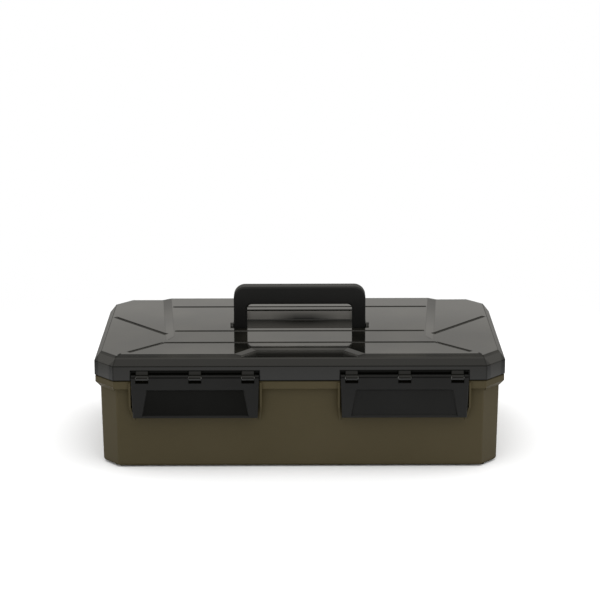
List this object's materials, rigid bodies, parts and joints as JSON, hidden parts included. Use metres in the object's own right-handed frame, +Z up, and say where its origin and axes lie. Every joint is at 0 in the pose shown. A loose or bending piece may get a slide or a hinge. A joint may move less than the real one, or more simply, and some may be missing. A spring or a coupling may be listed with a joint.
{
  "type": "tackle utility box",
  "caption": "Olive tackle utility box with a smoke-tinted hinged lid, a fold-down carrying handle, wide front latches and removable dividers.",
  "frame": {"origin": "middle of the box on the plane of its feet", "axes": "+X to the box's right along its long front, +Y to the back, towards the lid hinges, +Z up"},
  "size_m": [0.38, 0.2265, 0.1489],
  "materials": {
    "olive_tub": "moulded olive plastic with a light satin sheen",
    "smoke_lid": "polished smoke-tinted clear plastic, almost black",
    "black_plastic": "satin black moulded plastic",
    "divider_plastic": "plain moulded olive plastic",
    "seal_rubber": "soft black sealing rubber",
    "foot_rubber": "black non-slip rubber",
    "pin_steel": "drawn steel wire"
  },
  "bodies": {
    "base": {"base_tub": "olive_tub", "foot_pad_1": "foot_rubber", "foot_pad_2": "foot_rubber", "foot_pad_3": "foot_rubber", "foot_pad_4": "foot_rubber", "foot_pad_5": "foot_rubber", "foot_pad_6": "foot_rubber", "foot_pad_7": "foot_rubber", "foot_pad_8": "foot_rubber", "divider_1": "divider_plastic", "divider_2": "divider_plastic", "divider_3": "divider_plastic", "divider_4": "divider_plastic", "hinge_pin_left": "pin_steel", "hinge_pin_right": "pin_steel"},
    "lid": {"lid_shell": "smoke_lid", "lid_seal": "seal_rubber", "latch_pin_left": "pin_steel", "latch_pin_right": "pin_steel"},
    "handle": {"carry_handle": "black_plastic"},
    "latch_left": {"latch_left": "black_plastic"},
    "latch_right": {"latch_right": "black_plastic"}
  },
  "joints": [
    {"name": "lid_hinge", "type": "hinge", "parent": "base", "child": "lid", "pos_m": [0, 0.1118, 0.085], "axis": [-1, 0, 0], "range_deg": [0, 110]},
    {"name": "handle_fold", "type": "hinge", "parent": "lid", "child": "handle", "pos_m": [0, -0.002, 0.1088], "axis": [-1, 0, 0], "range_deg": [0, 90]},
    {"name": "latch_left_swing", "type": "hinge", "parent": "lid", "child": "latch_left", "pos_m": [-0.096, -0.1084, 0.0882], "axis": [-1, 0, 0], "range_deg": [0, 120]},
    {"name": "latch_right_swing", "type": "hinge", "parent": "lid", "child": "latch_right", "pos_m": [0.096, -0.1084, 0.0882], "axis": [-1, 0, 0], "range_deg": [0, 120]}
  ]
}
